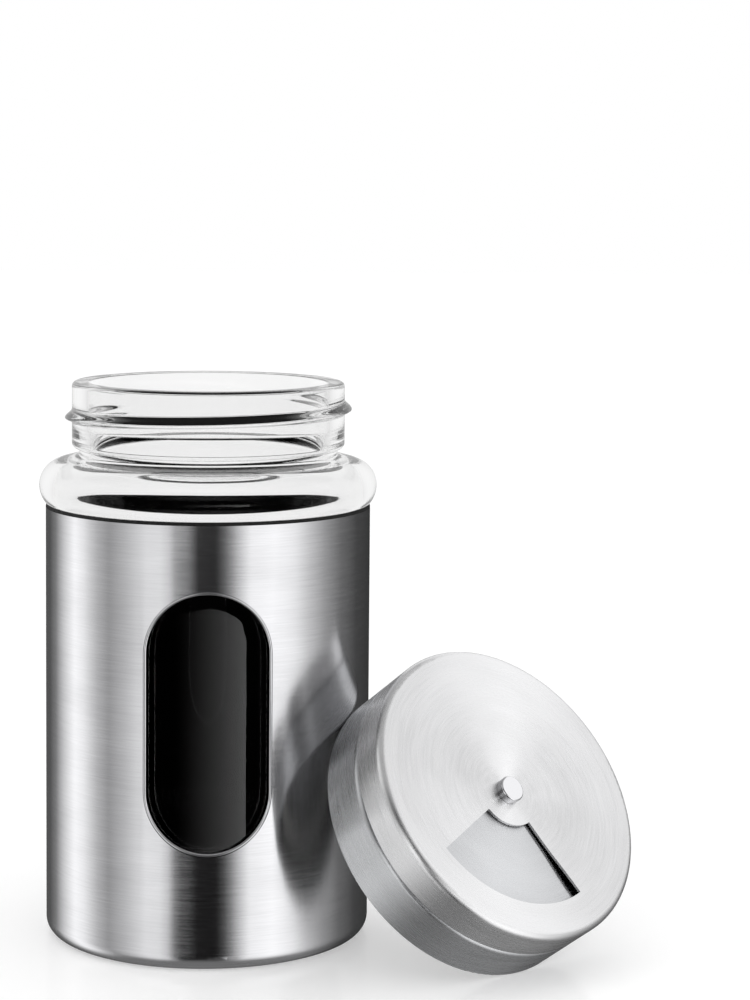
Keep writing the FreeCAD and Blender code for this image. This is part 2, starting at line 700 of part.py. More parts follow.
def cap_seat():
    """Where the open end's centre lies when the hem stands on the floor and the cap leans on the sleeve."""
    rotation = cap_rotation()
    tilt = math.radians(value("cap_tilt"))
    wall = value("shell_wall")
    reach = (value("cap_radius") - wall) * math.sin(tilt) + wall - wall * math.cos(tilt)
    height = reach + value("floor_clearance")
    side = math.radians(value("cap_side"))
    away = FreeCAD.Vector(math.cos(side), -math.sin(side), 0)
    near = value("sleeve_radius") + value("lean_clearance")
    low, high = near, near + 2 * value("cap_radius")
    edge = [rotation.multVec(FreeCAD.Vector(value("cap_radius") * math.cos(math.radians(step)),
                                            value("cap_radius") * math.sin(math.radians(step)), level))
            for step in range(FULL_TURN) for level in (wall, value("dial_edge_height"))]
    while high - low > value("seat_tolerance"):
        middle = (low + high) / 2
        centre = away * middle
        clear = all(math.hypot(centre.x + point.x, centre.y + point.y) > near for point in edge
                    if height + point.z < value("sleeve_height"))
        low, high = (low, middle) if clear else (middle, high)
    return away * high + AXIS_Z * height


cap_placement = FreeCAD.Placement(cap_seat(), cap_rotation())

jar_pieces = [glass_jar(), steel_sleeve(), shoulder_ring()]
cap_pieces = [cap_shell(), thread_insert(), rim_seal(), spacer_washer(), spring_washer(),
              backing_washer(), pivot_rivet(), dial_cap()]
doc.recompute()
for piece in cap_pieces:
    place_in_cap(piece)
doc.recompute()

for item in doc.Objects:
    if "Invalid" in item.State or "Error" in item.State:
        raise RuntimeError(f"{item.Name}: {item.State}")
for piece in jar_pieces + cap_pieces:
    shape = piece.Shape
    if shape.isNull() or not shape.isValid() or len(shape.Solids) != 1:
        raise RuntimeError(f"{piece.Label} is not one sound solid")
    shape.exportStep(f"parts/{piece.Label}.step")
    box = shape.BoundBox
    print(f"{piece.Label}: {shape.Volume:.1f} mm3, x {box.XMin:.2f}..{box.XMax:.2f}, "
          f"y {box.YMin:.2f}..{box.YMax:.2f}, z {box.ZMin:.2f}..{box.ZMax:.2f}")
print("cap seat", cap_placement.Base, "axis", cap_placement.Rotation.multVec(AXIS_Z))
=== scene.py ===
# %% [markdown]
# A glass spice jar stands in a brushed steel sleeve with a window, and its steel cap leans on it.
# The model of every piece is already made, at its real size, so this lesson is about looks: how
# glass, brushed steel and a plain studio are built from nodes, and how the shot is set up.
# The first cell loads the pieces. Their places are in their meshes, in metres, with +Z up.

# %% Load the pieces
import json
import math

import bmesh
import bpy
from mathutils import Matrix, Vector


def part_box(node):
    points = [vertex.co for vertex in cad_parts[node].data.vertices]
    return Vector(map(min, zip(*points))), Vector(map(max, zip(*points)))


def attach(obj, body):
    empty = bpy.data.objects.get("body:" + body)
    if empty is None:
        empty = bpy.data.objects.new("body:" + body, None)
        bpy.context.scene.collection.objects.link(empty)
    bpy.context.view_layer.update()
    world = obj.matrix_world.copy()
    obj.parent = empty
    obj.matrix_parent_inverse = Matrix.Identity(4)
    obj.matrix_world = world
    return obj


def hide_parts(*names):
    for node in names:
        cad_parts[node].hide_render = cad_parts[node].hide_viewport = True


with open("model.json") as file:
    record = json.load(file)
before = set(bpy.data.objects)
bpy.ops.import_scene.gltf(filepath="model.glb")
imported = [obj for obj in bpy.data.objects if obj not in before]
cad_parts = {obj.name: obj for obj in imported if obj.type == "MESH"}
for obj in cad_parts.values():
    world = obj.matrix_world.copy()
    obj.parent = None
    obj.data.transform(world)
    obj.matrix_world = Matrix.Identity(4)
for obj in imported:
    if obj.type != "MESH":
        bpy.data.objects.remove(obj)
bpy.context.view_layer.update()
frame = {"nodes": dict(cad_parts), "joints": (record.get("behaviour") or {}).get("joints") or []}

MM = 0.001
print("pieces", sorted(frame["nodes"]))

# %% [markdown]
# Two small helpers serve every material. Colours are written as sRGB hex values, the way a picture
# editor shows them, and turned into the linear values that shaders work with. One function adds a
# node, sets its properties and fills its inputs, with numbers or with other nodes' outputs.


# %% Colour and node helpers
def linear(code):
    """Linear RGBA of an sRGB hex code such as '#c0c0c4'."""
    channels = [int(code[place:place + 2], 16) / 255 for place in (1, 3, 5)]
    return [c / 12.92 if c <= 0.04045 else ((c + 0.055) / 1.055) ** 2.4 for c in channels] + [1.0]


MATH = "ShaderNodeMath"
VECTOR_MATH = "ShaderNodeVectorMath"


def add_node(tree, kind, inputs=None, **settings):
    """Adds a node; inputs maps a socket's name or number to a value, an output or a node's first output."""
    node = tree.nodes.new(kind)
    for name, item in settings.items():
        setattr(node, name, item)
    for name, item in (inputs or {}).items():
        if isinstance(item, bpy.types.Node):
            item = item.outputs[0]
        if isinstance(item, bpy.types.NodeSocket):
            tree.links.new(item, node.inputs[name])
        else:
            node.inputs[name].default_value = item
    return node


def fill_ramp(ramp, stops):
    """Sets a colour ramp's stops from (position, grey level) pairs."""
    elements = ramp.color_ramp.elements
    while len(elements) > 1:
        elements.remove(elements[0])
    for number, (position, level) in enumerate(stops):
        element = elements[0] if number == 0 else elements.new(position)
        element.position = position
        element.color = (level, level, level, 1)


def new_material(name):
    """An empty node material and its tree; the caller links the last shader to the output."""
    material = bpy.data.materials.new(name)
    material.use_nodes = True
    material.node_tree.nodes.clear()
    return material, material.node_tree


def finish_material(material, shader):
    """Links the last shader to the material's output."""
    add_node(material.node_tree, "ShaderNodeOutputMaterial", {"Surface": shader})
    print("material", material.name, "with", len(material.node_tree.nodes), "nodes")
    return material


print("mid grey is", round(linear("#808080")[0], 3), "in linear light")

# %% [markdown]
# The camera comes first, because reflections in metal depend on where it stands. It looks slightly
# down at the jar from half a metre away through a long lens, which keeps the jar's sides nearly
# parallel. The lens is shifted, as on a product camera, to leave empty space above and to the right.

# %% Camera
CAMERA_DISTANCE = 0.4975
CAMERA_HEIGHT = 0.1431
CAMERA_YAW = 2.582
CAMERA_PITCH = 4.622
CAMERA_ROLL = 0.384
LENS_LENGTH = 97.13
SHIFT_RIGHT = 0.045
SHIFT_UP = -0.12

camera_data = bpy.data.cameras.new("camera")
camera = bpy.data.objects.new("camera", camera_data)
bpy.context.collection.objects.link(camera)
camera_data.lens = LENS_LENGTH
camera_data.sensor_width = 36
camera_data.shift_x = SHIFT_RIGHT
camera_data.shift_y = SHIFT_UP
camera_data.dof.use_dof = False
yaw, pitch, roll = (math.radians(angle) for angle in (CAMERA_YAW, CAMERA_PITCH, CAMERA_ROLL))
level_view = Vector((math.sin(yaw), math.cos(yaw), 0))
level_right = Vector((math.cos(yaw), -math.sin(yaw), 0))
straight_up = Vector((0, 0, 1))
view_direction = level_view * math.cos(pitch) - straight_up * math.sin(pitch)
view_up = level_view * math.sin(pitch) + straight_up * math.cos(pitch)
camera_right = level_right * math.cos(roll) + view_up * math.sin(roll)
camera_up = view_up * math.cos(roll) - level_right * math.sin(roll)
turn = Matrix((camera_right, camera_up, -view_direction)).transposed()
camera.matrix_world = Matrix.Translation((0, -CAMERA_DISTANCE, CAMERA_HEIGHT)) @ turn.to_4x4()
bpy.context.scene.camera = camera
print("camera looks along", [round(part, 3) for part in view_direction])

# %% [markdown]
# Brushed metal shows what stands round it, so the studio is a ring of soft boxes and dark gaps,
# painted on the sky by compass direction. Zero degrees is where the camera stands, and angles grow
# to the right. The camera looks out of a narrow dark gap, which gives the sleeve its dark stripe.
# The ring has three rows. The sleeve mirrors the low row, with a share of the high one near its top,
# and the cap's face, which looks up, mirrors the upper row. Only soft reflections show the ring. All
# else is lit by an even white tent of strength 1, in which a colour renders about as it is written.

# %% Studio sky
LOW_RING = [
    (-180, 0.08), (-150, 0.12), (-136, 0.3), (-122, 1.0), (-108, 1.65), (-98, 1.45), (-84, 0.75), (-74, 0.48),
    (-60, 0.8), (-44, 1.3), (-34, 1.25), (-28, 0.9), (-23, 0.2), (-18, 0.01), (-12, 0.0), (7, 0.0),
    (12, 0.06), (17, 0.3), (22, 0.75), (30, 1.45), (48, 1.7), (64, 1.4), (76, 0.9), (90, 0.5), (108, 0.2),
    (130, 0.08), (165, 0.04), (180, 0.08),
]
HIGH_RING = [
    (-180, 0.1), (-148, 0.08), (-126, 0.6), (-108, 1.65), (-92, 0.6), (-70, 0.55), (-46, 1.0), (-30, 1.4),
    (-20, 1.7), (-15, 1.5), (-11, 0.8), (-7, 0.2), (5, 0.15), (9, 0.4), (14, 0.8), (20, 1.3), (30, 1.7),
    (60, 1.4), (76, 1.0), (96, 0.42), (130, 0.15), (180, 0.1),
]
UPPER_RING = [
    (-180, 1.1), (-80, 1.1), (-45, 0.5), (-30, 0.04), (30, 0.04), (50, 0.65), (75, 1.4), (180, 1.2),
]
# The rest are heights in the sky, as the sine of the angle above the horizon, and grey levels.
RING_RISE = (-0.12, -0.03)
UPPER_RISE = (0.15, 0.45)
TOP_RISE = (0.65, 0.85)
TOP_LEVEL = 0.5
GROUND_FALL = (-0.55, -0.85)
GROUND_LEVEL = 0.25


def compass(tree, vector):
    """The bearing of a direction or a place, in radians: 0 towards the camera, growing to the right."""
    parts = add_node(tree, "ShaderNodeSeparateXYZ", {"Vector": vector}).outputs
    forward = add_node(tree, MATH, {0: parts["Y"], 1: -1.0}, operation="MULTIPLY")
    return add_node(tree, MATH, {0: parts["X"], 1: forward}, operation="ARCTAN2")


def ring_levels(tree, bearing, stops):
    """Grey levels round the studio, from (degrees, level) pairs."""
    around = add_node(tree, "ShaderNodeMapRange",
                      {"Value": bearing, "From Min": -math.pi, "From Max": math.pi})
    ramp = add_node(tree, "ShaderNodeValToRGB", {"Fac": around})
    fill_ramp(ramp, [(angle / 360 + 0.5, level) for angle, level in stops])
    return ramp


world = bpy.data.worlds.new("studio")
bpy.context.scene.world = world
world.use_nodes = True
world.cycles.sampling_method = "NONE"
sky = world.node_tree
sky.nodes.clear()
direction = add_node(sky, "ShaderNodeTexCoord").outputs["Generated"]
height = add_node(sky, "ShaderNodeSeparateXYZ", {"Vector": direction}).outputs["Z"]
depth = add_node(sky, "ShaderNodeSeparateXYZ", {"Vector": direction}).outputs["Y"]
bearing = compass(sky, direction)
rise = add_node(sky, "ShaderNodeMapRange",
                {"Value": height, "From Min": RING_RISE[0], "From Max": RING_RISE[1]},
                interpolation_type="SMOOTHSTEP")
walls = add_node(sky, "ShaderNodeMix", {0: rise, 2: ring_levels(sky, bearing, LOW_RING),
                                        3: ring_levels(sky, bearing, HIGH_RING)}, data_type="FLOAT")
upper_rise = add_node(sky, "ShaderNodeMapRange",
                      {"Value": height, "From Min": UPPER_RISE[0], "From Max": UPPER_RISE[1]},
                      interpolation_type="SMOOTHSTEP")
upper_walls = add_node(sky, "ShaderNodeMix", {0: upper_rise, 2: walls,
                                              3: ring_levels(sky, bearing, UPPER_RING)}, data_type="FLOAT")
top = add_node(sky, "ShaderNodeMapRange", {"Value": height, "From Min": TOP_RISE[0], "From Max": TOP_RISE[1]},
               interpolation_type="SMOOTHSTEP")
ceiling = add_node(sky, "ShaderNodeMix", {0: top, 2: upper_walls, 3: TOP_LEVEL}, data_type="FLOAT")
fall = add_node(sky, "ShaderNodeMapRange",
                {"Value": height, "From Min": GROUND_FALL[0], "From Max": GROUND_FALL[1]},
                interpolation_type="SMOOTHSTEP")
studio = add_node(sky, "ShaderNodeMix", {0: fall, 2: ceiling, 3: GROUND_LEVEL}, data_type="FLOAT")
print("sky ring has", len(LOW_RING), "stops")

# %% [markdown]
# Glass mirrors sharply, and it has a studio of its own. Behind the jar all is white, as on a light
# table, with a grey flag at either side that draws the glass's outlines. In front the room is dark,
# from the edge of the table up to the lamp. Only light that was mirrored on its way sees that dark
# side, so the glass shows black shapes, but is clear from behind as well. One pale card stands in
# the dark. It is the grey patch in the window, and only the glass's outer face shows it, once.

# %% Dark side, flags and card for the glass
# Edges, top and bottom are sines of angles, levels are greys, and the card's angles are bearings.
DARK_LEVEL = 0.005
FRONT_EDGE = (0.1, -0.1)
TABLE_EDGE = (-0.58, -0.64)
LAMP_EDGE = (0.85, 0.70)
FLAG_EDGE = (0.92, 0.25)
FLAG_LEVEL = 0.3
BACK_LEVEL = 0.7
CARD_LEVEL = 1.6
CARD_DARK_ANGLE = -25
CARD_END_ANGLE = 27.8
CARD_FADE_POWER = 2.0
CARD_TOP = -0.166
CARD_BOTTOM = -0.32
CARD_CORNER_ANGLE = 5
CARD_CORNER_DROP = 0.009
CARD_CORNER_POWER = 3.0

ray = add_node(sky, "ShaderNodeLightPath").outputs
fade = add_node(sky, "ShaderNodeMapRange", {"Value": bearing, "From Min": math.radians(CARD_DARK_ANGLE),
                                            "From Max": math.radians(CARD_END_ANGLE)})
card_fade = add_node(sky, MATH, {0: fade, 1: CARD_FADE_POWER}, operation="POWER")
card_light = add_node(sky, MATH, {0: card_fade, 1: CARD_LEVEL}, operation="MULTIPLY")
side = add_node(sky, MATH, {0: bearing, 1: math.radians(CARD_END_ANGLE)}, operation="LESS_THAN")
near_end = add_node(sky, "ShaderNodeMapRange",
                    {"Value": bearing, "From Min": math.radians(CARD_CORNER_ANGLE),
                     "From Max": math.radians(CARD_END_ANGLE)})
corner = add_node(sky, MATH, {0: near_end, 1: CARD_CORNER_POWER}, operation="POWER")
corner_height = add_node(sky, MATH, {0: corner, 1: CARD_CORNER_DROP, 2: height}, operation="MULTIPLY_ADD")
low_enough = add_node(sky, MATH, {0: corner_height, 1: CARD_TOP}, operation="LESS_THAN")
high_enough = add_node(sky, MATH, {0: height, 1: CARD_BOTTOM}, operation="GREATER_THAN")
card_span = add_node(sky, MATH, {0: low_enough, 1: high_enough}, operation="MULTIPLY")
card_place = add_node(sky, MATH, {0: side, 1: card_span}, operation="MULTIPLY")
outer_face = add_node(sky, MATH, {0: 1.0, 1: ray["Is Transmission Ray"]}, operation="SUBTRACT")
card_seen = add_node(sky, MATH, {0: card_place, 1: outer_face}, operation="MULTIPLY")
dark_side = add_node(sky, "ShaderNodeMix", {0: card_seen, 2: DARK_LEVEL, 3: card_light}, data_type="FLOAT")
under_lamp = add_node(sky, "ShaderNodeMapRange",
                      {"Value": height, "From Min": LAMP_EDGE[0], "From Max": LAMP_EDGE[1]})
in_front = add_node(sky, "ShaderNodeMapRange",
                    {"Value": depth, "From Min": FRONT_EDGE[0], "From Max": FRONT_EDGE[1]})
turned_back = add_node(sky, MATH, {0: ray["Glossy Depth"], 1: 0.5}, operation="GREATER_THAN")
steep = add_node(sky, "ShaderNodeMapRange",
                 {"Value": height, "From Min": TABLE_EDGE[0], "From Max": TABLE_EDGE[1]})
on_table = add_node(sky, MATH, {0: steep, 1: ray["Is Transmission Ray"]}, operation="MULTIPLY")
in_shade = add_node(sky, MATH, {0: under_lamp, 1: in_front}, operation="MULTIPLY")
off_table = add_node(sky, MATH, {0: in_shade, 1: on_table}, operation="SUBTRACT", use_clamp=True)
in_dark = add_node(sky, MATH, {0: off_table, 1: turned_back}, operation="MULTIPLY")
off_axis = add_node(sky, MATH, {0: depth}, operation="ABSOLUTE")
flag_side = add_node(sky, "ShaderNodeMapRange", {"Value": off_axis, "From Min": FLAG_EDGE[0],
                                                 "From Max": FLAG_EDGE[1], "To Min": 1.0,
                                                 "To Max": FLAG_LEVEL}, interpolation_type="SMOOTHSTEP")
tent = add_node(sky, MATH, {0: flag_side, 1: BACK_LEVEL}, operation="MULTIPLY")
behind = add_node(sky, "ShaderNodeMix", {0: outer_face, 2: flag_side, 3: tent}, data_type="FLOAT")
sharp = add_node(sky, "ShaderNodeMix", {0: in_dark, 2: behind, 3: dark_side}, data_type="FLOAT")
mirrored = add_node(sky, "ShaderNodeMix", {0: ray["Is Singular Ray"], 2: studio, 3: sharp}, data_type="FLOAT")
level = add_node(sky, "ShaderNodeMix", {0: ray["Is Glossy Ray"], 2: 1.0, 3: mirrored}, data_type="FLOAT")
light = add_node(sky, "ShaderNodeBackground", {"Color": (1, 1, 1, 1), "Strength": level})
add_node(sky, "ShaderNodeOutputWorld", {"Surface": light})
print("sky nodes", len(sky.nodes))

# %% [markdown]
# The floor is a pale table top. To the camera it is white where nothing shades it, and it keeps the
# soft shadows of the jar and cap and mirrors them faintly. Reflections pass through it to the sky
# below, where the ring goes on, so that the sleeve's stripes run down to its foot.

# %% Floor
FLOOR_SIZE = 6.0
FLOOR_LIFT = 0.33
FLOOR_SHINE = 0.10
SHINE_ROUGHNESS = 0.1

floor_mesh = bpy.data.meshes.new("floor")
half = FLOOR_SIZE / 2
floor_mesh.from_pydata([(-half, -half, 0), (half, -half, 0), (half, half, 0), (-half, half, 0)], [],
                       [(0, 1, 2, 3)])
floor = bpy.data.objects.new("floor", floor_mesh)
bpy.context.collection.objects.link(floor)
floor_material, tree = new_material("white_table_top")
ray = add_node(tree, "ShaderNodeLightPath").outputs
paint = add_node(tree, "ShaderNodeBsdfDiffuse", {"Color": linear("#e6e6e6")})
shine = add_node(tree, "ShaderNodeBsdfAnisotropic",
                 {"Color": linear("#ffffff"), "Roughness": SHINE_ROUGHNESS})
gloss = add_node(tree, "ShaderNodeMixShader", {0: FLOOR_SHINE, 1: paint.outputs[0], 2: shine.outputs[0]})
lift = add_node(tree, MATH, {0: ray["Is Camera Ray"], 1: FLOOR_LIFT}, operation="MULTIPLY")
lift_glow = add_node(tree, "ShaderNodeEmission", {"Strength": lift.outputs[0]})
table = add_node(tree, "ShaderNodeAddShader", {0: gloss.outputs[0], 1: lift_glow.outputs[0]})
clear = add_node(tree, "ShaderNodeBsdfTransparent")
floor_shader = add_node(tree, "ShaderNodeMixShader", {0: ray["Is Glossy Ray"], 1: table.outputs[0],
                                                      2: clear.outputs[0]})
floor.data.materials.append(finish_material(floor_material, floor_shader.outputs[0]))
floor_material.cycles.emission_sampling = "NONE"

# %% [markdown]
# The cap leans over, so its own axis is tilted in the scene. Patterns that run round the cap need its
# own frame. The dial's joint gives the axis and a point on it, and a Mapping node turns Object
# coordinates so that Z runs along the cap's axis.

# %% The cap's frame
dial_joint = next(joint for joint in frame["joints"] if joint["name"] == "dial_turn")
cap_axis = Vector(dial_joint["axis"]).normalized()
cap_point = Vector(dial_joint["pos_m"])
cap_turn = cap_axis.to_track_quat("Z", "Y").to_euler()
print("cap axis", [round(part, 3) for part in cap_axis])


def cap_coordinates(tree):
    """Object coordinates seen from the cap: the axis is Z, and the dial's middle is the origin."""
    place = add_node(tree, "ShaderNodeTexCoord").outputs["Object"]
    return add_node(tree, "ShaderNodeMapping", {"Vector": place, "Location": cap_point, "Rotation": cap_turn},
                    vector_type="TEXTURE").outputs[0]


def cap_tangent(tree):
    """The direction that runs round the cap's axis, for brushing that goes in circles."""
    place = add_node(tree, "ShaderNodeTexCoord").outputs["Object"]
    arm = add_node(tree, VECTOR_MATH, {0: place, 1: cap_point}, operation="SUBTRACT")
    round_axis = add_node(tree, VECTOR_MATH, {0: cap_axis, 1: arm.outputs[0]},
                          operation="CROSS_PRODUCT")
    return add_node(tree, "ShaderNodeVectorTransform", {"Vector": round_axis.outputs[0]},
                    vector_type="VECTOR", convert_from="OBJECT", convert_to="WORLD").outputs[0]


# %% [markdown]
# Steel brushed in circles has fine scratches that all run one way. Across them light scatters widely,
# along them hardly at all, which draws highlights into long bands: that is anisotropy. The scratches
# are noise squeezed to a quarter of a millimetre across and left long the other way. Real ones are
# far finer, and are drawn coarser here so that they show at this size. Wider, fainter clouds of the
# same kind stand for the passes of the brush.


# %% Brushed steel
NOISE_SPAN = {"From Min": 0.3, "From Max": 0.7}
SCRATCH_SHADE = {"To Min": 0.94, "To Max": 1.03}
CLOUD_SHADE = {"To Min": 0.94, "To Max": 1.04}
CLOUD_WIDTH = 30
CLOUD_LENGTH = 3
GLOSS_SPREAD = 0.15
SCRATCH_BUMP = 0.1


def streaks(tree, vector, round_scale, fine_scale, detail=3.0):
    """Noise drawn out along circles round Z: the unit circle's place, and radius plus height."""
    parts = add_node(tree, "ShaderNodeSeparateXYZ", {"Vector": vector}).outputs
    flat = add_node(tree, "ShaderNodeCombineXYZ", {"X": parts["X"], "Y": parts["Y"]})
    unit = add_node(tree, VECTOR_MATH, {0: flat.outputs[0]}, operation="NORMALIZE")
    round_part = add_node(tree, VECTOR_MATH, {0: unit.outputs[0], "Scale": round_scale},
                          operation="SCALE")
    reach = add_node(tree, VECTOR_MATH, {0: flat.outputs[0]}, operation="LENGTH")
    across = add_node(tree, MATH, {0: reach.outputs["Value"], 1: parts["Z"]},
                      operation="ADD")
    fine = add_node(tree, MATH, {0: across.outputs[0], 1: fine_scale}, operation="MULTIPLY")
    round_parts = add_node(tree, "ShaderNodeSeparateXYZ", {"Vector": round_part.outputs[0]}).outputs
    squeezed = add_node(tree, "ShaderNodeCombineXYZ", {"X": round_parts["X"], "Y": round_parts["Y"],
                                                       "Z": fine.outputs[0]})
    return add_node(tree, "ShaderNodeTexNoise", {"Vector": squeezed.outputs[0], "Scale": 1.0,
                                                 "Detail": detail, "Roughness": 0.6}).outputs[0]


def brushed(tree, vector, tangent, color, roughness, grain, round_scale):
    """Metal brushed in circles; grain is the width of a scratch in metres."""
    scratch = streaks(tree, vector, round_scale, 1 / grain)
    clouds = streaks(tree, vector, round_scale / CLOUD_LENGTH, 1 / (grain * CLOUD_WIDTH), detail=2.0)
    shade = add_node(tree, "ShaderNodeMapRange", {"Value": scratch, **NOISE_SPAN, **SCRATCH_SHADE})
    cloud_shade = add_node(tree, "ShaderNodeMapRange", {"Value": clouds, **NOISE_SPAN, **CLOUD_SHADE})
    both = add_node(tree, MATH, {0: shade, 1: cloud_shade}, operation="MULTIPLY")
    tint = add_node(tree, VECTOR_MATH, {0: color[:3], "Scale": both.outputs[0]},
                    operation="SCALE")
    rough = add_node(tree, "ShaderNodeMapRange", {
        "Value": scratch, **NOISE_SPAN, "To Min": roughness * (1 - GLOSS_SPREAD),
        "To Max": roughness * (1 + GLOSS_SPREAD)})
    relief = add_node(tree, "ShaderNodeBump", {"Height": scratch, "Strength": SCRATCH_BUMP,
                                               "Distance": grain * 0.1})
    return add_node(tree, "ShaderNodeBsdfPrincipled", {
        "Base Color": tint.outputs[0], "Metallic": 1.0, "Roughness": rough, "Anisotropic": 1.0,
        "Anisotropic Rotation": 0.25, "Tangent": tangent, "Normal": relief.outputs[0]})


SCRATCH = 0.25 * MM
DIAL_SCRATCH = 0.3 * MM
SLEEVE_TURN_SCALE = 4.0
CAP_TURN_SCALE = 2.5
INWARD = -0.5
UPWARD = 0.3
material, tree = new_material("brushed_stainless_sleeve")
place = add_node(tree, "ShaderNodeTexCoord").outputs["Object"]
tangent = add_node(tree, "ShaderNodeTangent", direction_type="RADIAL", axis="Z").outputs[0]
outside = brushed(tree, place, tangent, linear("#c9c9cb"), 0.15, SCRATCH, SLEEVE_TURN_SCALE)
# Painted shade: the inside of the can and its floor are near black and matt, to keep the window dark.
normal = add_node(tree, "ShaderNodeNewGeometry").outputs["Normal"]
flat_place = add_node(tree, VECTOR_MATH, {0: place, 1: (1, 1, 0)}, operation="MULTIPLY")
out_way = add_node(tree, VECTOR_MATH, {0: flat_place.outputs[0]}, operation="NORMALIZE")
facing = add_node(tree, VECTOR_MATH, {0: normal, 1: out_way.outputs[0]},
                  operation="DOT_PRODUCT")
faces_in = add_node(tree, MATH, {0: facing.outputs["Value"], 1: INWARD}, operation="LESS_THAN")
normal_parts = add_node(tree, "ShaderNodeSeparateXYZ", {"Vector": normal}).outputs
faces_up = add_node(tree, MATH, {0: normal_parts["Z"], 1: UPWARD}, operation="GREATER_THAN")
inside_for_painted_shade = add_node(tree, MATH, {0: faces_in.outputs[0], 1: faces_up.outputs[0]},
                 operation="MAXIMUM")
# Painted shade, near black with no gloss, stands in for the dark inside of the can.
painted_shade_inside = add_node(tree, "ShaderNodeBsdfPrincipled", {"Base Color": linear("#040404"), "Metallic": 0.0,
                                                   "Roughness": 1.0, "Specular IOR Level": 0.0})
skin = add_node(tree, "ShaderNodeMixShader", {0: inside_for_painted_shade.outputs[0], 1: outside.outputs[0],
                                              2: painted_shade_inside.outputs[0]})
sleeve_steel = finish_material(material, skin.outputs[0])

# The dial is a little paler and softer than the sleeve. Its paler colour is partly a painted highlight for
# its face, which looks up, so that the face reads as one bright disc.
material, tree = new_material("brushed_stainless_dial")
dial_shader = brushed(tree, cap_coordinates(tree), cap_tangent(tree), linear("#dcdcdd"), 0.26,
                      DIAL_SCRATCH, CAP_TURN_SCALE)
dial_steel_painted_pale = finish_material(material, dial_shader.outputs[0])

# The cup is brushed like the sleeve but less shiny, and the plate in the slot belongs to it.
material, tree = new_material("brushed_stainless_cup")
cup_shader = brushed(tree, cap_coordinates(tree), cap_tangent(tree), linear("#c8c9cb"), 0.27,
                     SCRATCH, CAP_TURN_SCALE)
cup_steel = finish_material(material, cup_shader.outputs[0])

# %% [markdown]
# Clear jar glass bends light and mirrors a little of the studio. Pressed glass is never quite even,
# so a slow ripple, some eight millimetres across, stirs what shows through it.

# %% Glass
RIPPLE_WIDTH = 8 * MM
RIPPLE_HEIGHT = 0.2 * MM
RIPPLE_STRENGTH = 0.05
GLASS_IOR = 1.52
material, tree = new_material("clear_pressed_glass")
place = add_node(tree, "ShaderNodeTexCoord").outputs["Object"]
ripple = add_node(tree, "ShaderNodeTexNoise", {"Vector": place, "Scale": 1 / RIPPLE_WIDTH, "Detail": 1.0})
wave = add_node(tree, "ShaderNodeBump", {"Height": ripple.outputs[0], "Strength": RIPPLE_STRENGTH,
                                         "Distance": RIPPLE_HEIGHT})
glass_shader = add_node(tree, "ShaderNodeBsdfPrincipled", {
    "Base Color": linear("#ffffff"), "Roughness": 0.0, "IOR": GLASS_IOR, "Transmission Weight": 1.0,
    "Normal": wave.outputs[0]})
glass = finish_material(material, glass_shader.outputs[0])

# %% [markdown]
# The small pieces have plain finishes: moulded plastic, rubber, silicone and unbrushed steel. They
# differ in colour and gloss, and a fine even grain breaks the gloss up a little, as on any real part.
# One function makes them all, because they need no pattern that follows their shape.


# %% Plain finishes
GRAIN_SPREAD = 0.2


def plain_finish(name, code, roughness, metallic=0.0, grain=0.4 * MM, bump=0.1):
    """A plain surface with a fine even grain in its gloss."""
    material, tree = new_material(name)
    place = add_node(tree, "ShaderNodeTexCoord").outputs["Object"]
    speckle = add_node(tree, "ShaderNodeTexNoise", {"Vector": place, "Scale": 1 / grain, "Detail": 3.0})
    rough = add_node(tree, "ShaderNodeMapRange", {
        "Value": speckle, **NOISE_SPAN, "To Min": roughness * (1 - GRAIN_SPREAD),
        "To Max": roughness * (1 + GRAIN_SPREAD)})
    relief = add_node(tree, "ShaderNodeBump", {"Height": speckle.outputs[0], "Strength": bump,
                                               "Distance": grain * 0.1})
    shader = add_node(tree, "ShaderNodeBsdfPrincipled", {
        "Base Color": linear(code), "Metallic": metallic, "Roughness": rough,
        "Normal": relief.outputs[0]})
    return finish_material(material, shader.outputs[0])


# A rolled edge is smoother than the brushed sheet, so it draws thin bright lines.
rolled_steel = plain_finish("rolled_stainless_edge", "#cfcfd1", 0.16, 1.0, 0.2 * MM, 0.05)

# %% [markdown]
# The jar's shape follows a rule: one outline goes round the axis, and a single ridge of thread climbs
# the neck by one pitch in one turn. A lathe tool could turn the outline, but not the thread, and a
# sculpted thread would wander. So Geometry Nodes lay a grid over outline and turn, and lift the
# grid's points on the neck by a formula for the ridge. Its upper flank is long and slanting, its
# lower flank short, and both ends fade out at the back. The inside narrows a little at the neck's
# foot, which keeps the neck clear: with a straight bore it would mirror the dark can below. The
# rim's inner edge is rounded only a little, because a wide rounding draws a thick dark line.

# %% The jar's outline
RING_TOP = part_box("shoulder_ring")[1].z
RIM_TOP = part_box("glass_jar")[1].z
BODY_RADIUS = 29.0 * MM
BASE_HEIGHT = 0.5 * MM
HEEL = 4.0 * MM
FOOT_RADIUS = 29.94 * MM
BULGE_RADIUS = 31.2 * MM
BULGE_HEIGHT = RING_TOP + 3.35 * MM
CROWN = 4.6 * MM
SHOULDER_FALL = 0.55 * MM
WAIST_RADIUS = 23.9 * MM
WAIST_FILLET = 0.8 * MM
WAIST_HEIGHT = 1.65 * MM
NECK_RADIUS = 25.2 * MM
NECK_EDGE = 0.9 * MM
RIM_EDGE = 0.9 * MM
RIM_LIP = 0.15 * MM
MOUTH_RADIUS = 22.25 * MM
MOUTH_FOOT = 94.15 * MM
THROAT_RADIUS = 21.8 * MM
THROAT_TOP = 89.95 * MM
BELLY_RADIUS = 28.55 * MM
BELLY_HEIGHT = 83.15 * MM
CAVITY_RADIUS = 26.65 * MM
CAVITY_SHOULDER = 76.1 * MM
CAVITY_HEEL = 5.0 * MM
CAVITY_FLOOR = 5.5 * MM
SMALL_CORNER = 0.15 * MM
WALL_STEP = 1.5 * MM
MOUTH_STEP = 0.5 * MM
THREAD_STEP = 0.12 * MM


